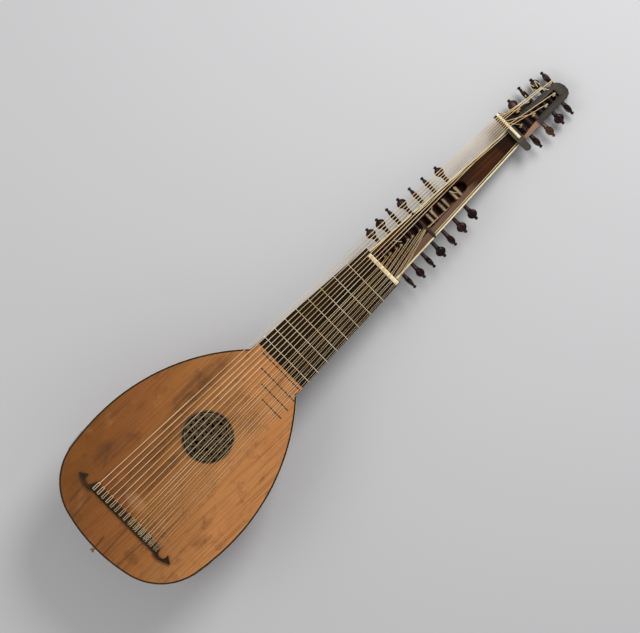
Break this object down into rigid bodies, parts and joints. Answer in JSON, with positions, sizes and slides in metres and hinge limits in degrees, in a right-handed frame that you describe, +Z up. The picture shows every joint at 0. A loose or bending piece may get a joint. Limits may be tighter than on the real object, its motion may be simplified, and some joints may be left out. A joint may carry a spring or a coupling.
{
  "type": "theorboed lute",
  "caption": "Lute with a round ribbed back, a carved rose, a fretted neck and a long extension that carries a second pegbox for its bass strings.",
  "frame": {"origin": "centre of the bounding box's bottom face, on the floor that the lute lies on", "axes": "+Y from the tail to the head, +Z up, +X to the treble side; the lute lies on its bowl and on the back of its upper pegbox"},
  "size_m": [0.333, 1.182, 0.1736],
  "materials": {
    "rib_maple": "varnished dark red-brown",
    "walnut": "polished dark brown",
    "iron": "dark, forged",
    "aged_spruce": "oiled, aged orange-brown",
    "ebonised_wood": "polished black",
    "brass": "dull",
    "bone": null,
    "plum_wood": "polished dark red-brown",
    "gut": null
  },
  "bodies": {
    "lute": {"bowl": "rib_maple", "end_clasp": "rib_maple", "neck_block": "walnut", "neck_nail": "iron", "soundboard": "aged_spruce", "edge_binding": "ebonised_wood", "rose": "ebonised_wood", "bridge": "ebonised_wood", "end_button": "brass", "neck": "ebonised_wood", "fingerboard": "ebonised_wood", "main_nut": "bone", "upper_nut": "bone", "extension": "walnut", "edging_bass": "bone", "edging_treble": "bone", "pegbox_crossbar": "ebonised_wood", "upper_pegbox": "walnut", "diapason_1": "gut", "diapason_2": "gut", "diapason_3": "gut", "diapason_4": "gut", "diapason_5": "gut", "diapason_6": "gut", "diapason_7": "gut", "diapason_8": "gut", "course_6_string_1": "gut", "course_6_string_2": "gut", "course_5_string_1": "gut", "course_5_string_2": "gut", "course_4_string_1": "gut", "course_4_string_2": "gut", "course_3_string_1": "gut", "course_3_string_2": "gut", "course_2_string_1": "gut", "course_2_string_2": "gut", "course_1_string_1": "gut", "course_1_string_2": "gut"},
    "lower_peg_treble_1": {"lower_peg_treble_1": "plum_wood"},
    "lower_peg_bass_1": {"lower_peg_bass_1": "plum_wood"},
    "lower_peg_treble_2": {"lower_peg_treble_2": "plum_wood"},
    "lower_peg_bass_2": {"lower_peg_bass_2": "plum_wood"},
    "lower_peg_treble_3": {"lower_peg_treble_3": "plum_wood"},
    "lower_peg_bass_3": {"lower_peg_bass_3": "plum_wood"},
    "lower_peg_treble_4": {"lower_peg_treble_4": "plum_wood"},
    "lower_peg_bass_4": {"lower_peg_bass_4": "plum_wood"},
    "lower_peg_treble_5": {"lower_peg_treble_5": "plum_wood"},
    "lower_peg_bass_5": {"lower_peg_bass_5": "plum_wood"},
    "lower_peg_treble_6": {"lower_peg_treble_6": "plum_wood"},
    "lower_peg_bass_6": {"lower_peg_bass_6": "plum_wood"},
    "lower_peg_treble_7": {"lower_peg_treble_7": "plum_wood"},
    "lower_peg_bass_7": {"lower_peg_bass_7": "plum_wood"},
    "upper_peg_treble_1": {"upper_peg_treble_1": "plum_wood"},
    "upper_peg_bass_1": {"upper_peg_bass_1": "plum_wood"},
    "upper_peg_treble_2": {"upper_peg_treble_2": "plum_wood"},
    "upper_peg_bass_2": {"upper_peg_bass_2": "plum_wood"},
    "upper_peg_treble_3": {"upper_peg_treble_3": "plum_wood"},
    "upper_peg_bass_3": {"upper_peg_bass_3": "plum_wood"},
    "upper_peg_treble_4": {"upper_peg_treble_4": "plum_wood"},
    "upper_peg_bass_4": {"upper_peg_bass_4": "plum_wood"}
  },
  "joints": [
    {"name": "lower_peg_treble_1_turn", "type": "hinge", "parent": "lute", "child": "lower_peg_treble_1", "pos_m": [0.03476, 0.15002, 0.06665], "axis": [1, 0, 0], "continuous": true},
    {"name": "lower_peg_bass_1_turn", "type": "hinge", "parent": "lute", "child": "lower_peg_bass_1", "pos_m": [-0.0342, 0.15993, 0.06531], "axis": [-1, 0, 0], "continuous": true},
    {"name": "lower_peg_treble_2_turn", "type": "hinge", "parent": "lute", "child": "lower_peg_treble_2", "pos_m": [0.03338, 0.17445, 0.06336], "axis": [1, 0, 0], "continuous": true},
    {"name": "lower_peg_bass_2_turn", "type": "hinge", "parent": "lute", "child": "lower_peg_bass_2", "pos_m": [-0.03283, 0.18436, 0.06202], "axis": [-1, 0, 0], "continuous": true},
    {"name": "lower_peg_treble_3_turn", "type": "hinge", "parent": "lute", "child": "lower_peg_treble_3", "pos_m": [0.03195, 0.2, 0.05991], "axis": [1, 0, 0], "continuous": true},
    {"name": "lower_peg_bass_3_turn", "type": "hinge", "parent": "lute", "child": "lower_peg_bass_3", "pos_m": [-0.0314, 0.20991, 0.05858], "axis": [-1, 0, 0], "continuous": true},
    {"name": "lower_peg_treble_4_turn", "type": "hinge", "parent": "lute", "child": "lower_peg_treble_4", "pos_m": [0.03046, 0.22666, 0.05632], "axis": [1, 0, 0], "continuous": true},
    {"name": "lower_peg_bass_4_turn", "type": "hinge", "parent": "lute", "child": "lower_peg_bass_4", "pos_m": [-0.0299, 0.23657, 0.05498], "axis": [-1, 0, 0], "continuous": true},
    {"name": "lower_peg_treble_5_turn", "type": "hinge", "parent": "lute", "child": "lower_peg_treble_5", "pos_m": [0.0289, 0.25443, 0.05258], "axis": [1, 0, 0], "continuous": true},
    {"name": "lower_peg_bass_5_turn", "type": "hinge", "parent": "lute", "child": "lower_peg_bass_5", "pos_m": [-0.02834, 0.26434, 0.05124], "axis": [-1, 0, 0], "continuous": true},
    {"name": "lower_peg_treble_6_turn", "type": "hinge", "parent": "lute", "child": "lower_peg_treble_6", "pos_m": [0.02728, 0.28331, 0.04869], "axis": [1, 0, 0], "continuous": true},
    {"name": "lower_peg_bass_6_turn", "type": "hinge", "parent": "lute", "child": "lower_peg_bass_6", "pos_m": [-0.02672, 0.29322, 0.04735], "axis": [-1, 0, 0], "continuous": true},
    {"name": "lower_peg_treble_7_turn", "type": "hinge", "parent": "lute", "child": "lower_peg_treble_7", "pos_m": [0.0256, 0.3133, 0.04464], "axis": [1, 0, 0], "continuous": true},
    {"name": "lower_peg_bass_7_turn", "type": "hinge", "parent": "lute", "child": "lower_peg_bass_7", "pos_m": [-0.02504, 0.32321, 0.04331], "axis": [-1, 0, 0], "continuous": true},
    {"name": "upper_peg_treble_1_turn", "type": "hinge", "parent": "lute", "child": "upper_peg_treble_1", "pos_m": [0.01868, 0.48505, 0.02947], "axis": [1, 0, 0], "continuous": true},
    {"name": "upper_peg_bass_1_turn", "type": "hinge", "parent": "lute", "child": "upper_peg_bass_1", "pos_m": [-0.02129, 0.50051, 0.02739], "axis": [-1, 0, 0], "continuous": true},
    {"name": "upper_peg_treble_2_turn", "type": "hinge", "parent": "lute", "child": "upper_peg_treble_2", "pos_m": [0.01792, 0.51518, 0.02541], "axis": [1, 0, 0], "continuous": true},
    {"name": "upper_peg_bass_2_turn", "type": "hinge", "parent": "lute", "child": "upper_peg_bass_2", "pos_m": [-0.02057, 0.52905, 0.02354], "axis": [-1, 0, 0], "continuous": true},
    {"name": "upper_peg_treble_3_turn", "type": "hinge", "parent": "lute", "child": "upper_peg_treble_3", "pos_m": [0.01724, 0.54214, 0.02178], "axis": [1, 0, 0], "continuous": true},
    {"name": "upper_peg_bass_3_turn", "type": "hinge", "parent": "lute", "child": "upper_peg_bass_3", "pos_m": [-0.01993, 0.55442, 0.02012], "axis": [-1, 0, 0], "continuous": true},
    {"name": "upper_peg_treble_4_turn", "type": "hinge", "parent": "lute", "child": "upper_peg_treble_4", "pos_m": [0.01664, 0.56592, 0.01857], "axis": [1, 0, 0], "continuous": true},
    {"name": "upper_peg_bass_4_turn", "type": "hinge", "parent": "lute", "child": "upper_peg_bass_4", "pos_m": [-0.01937, 0.57662, 0.01713], "axis": [-1, 0, 0], "continuous": true}
  ]
}
